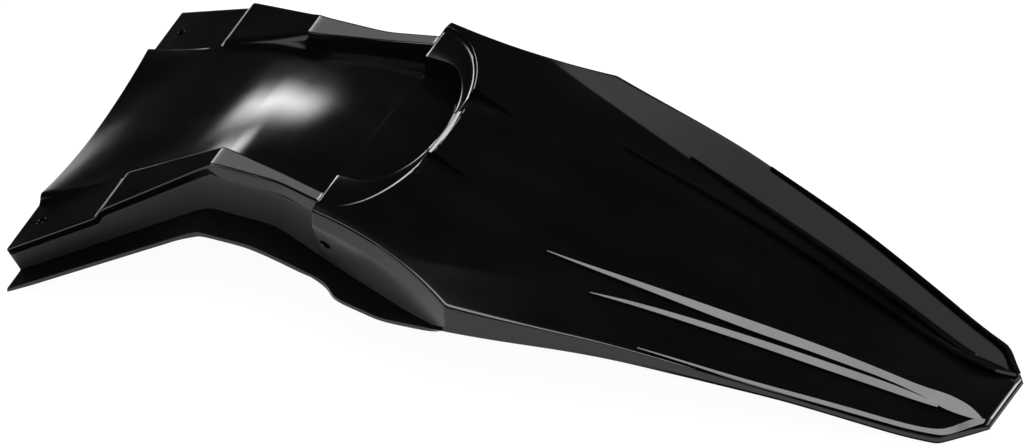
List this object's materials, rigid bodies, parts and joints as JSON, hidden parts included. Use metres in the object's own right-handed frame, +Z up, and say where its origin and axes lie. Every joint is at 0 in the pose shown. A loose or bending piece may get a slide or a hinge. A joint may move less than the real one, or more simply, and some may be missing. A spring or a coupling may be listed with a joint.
{
  "type": "motorcycle rear fender",
  "caption": "One-piece moulded rear fender for an off-road motorcycle, with a wheel dome, seat recess, creased deck and tapered tail.",
  "frame": {"origin": "bottom centre of the bounding box, on the floor under the middle of the shell", "axes": "+X to the rear along the tail, +Y across, +Z up"},
  "size_m": [0.671, 0.297, 0.1127],
  "materials": {
    "black_plastic": "glossy black moulded polypropylene"
  },
  "bodies": {
    "root": {"fender": "black_plastic"}
  },
  "joints": []
}
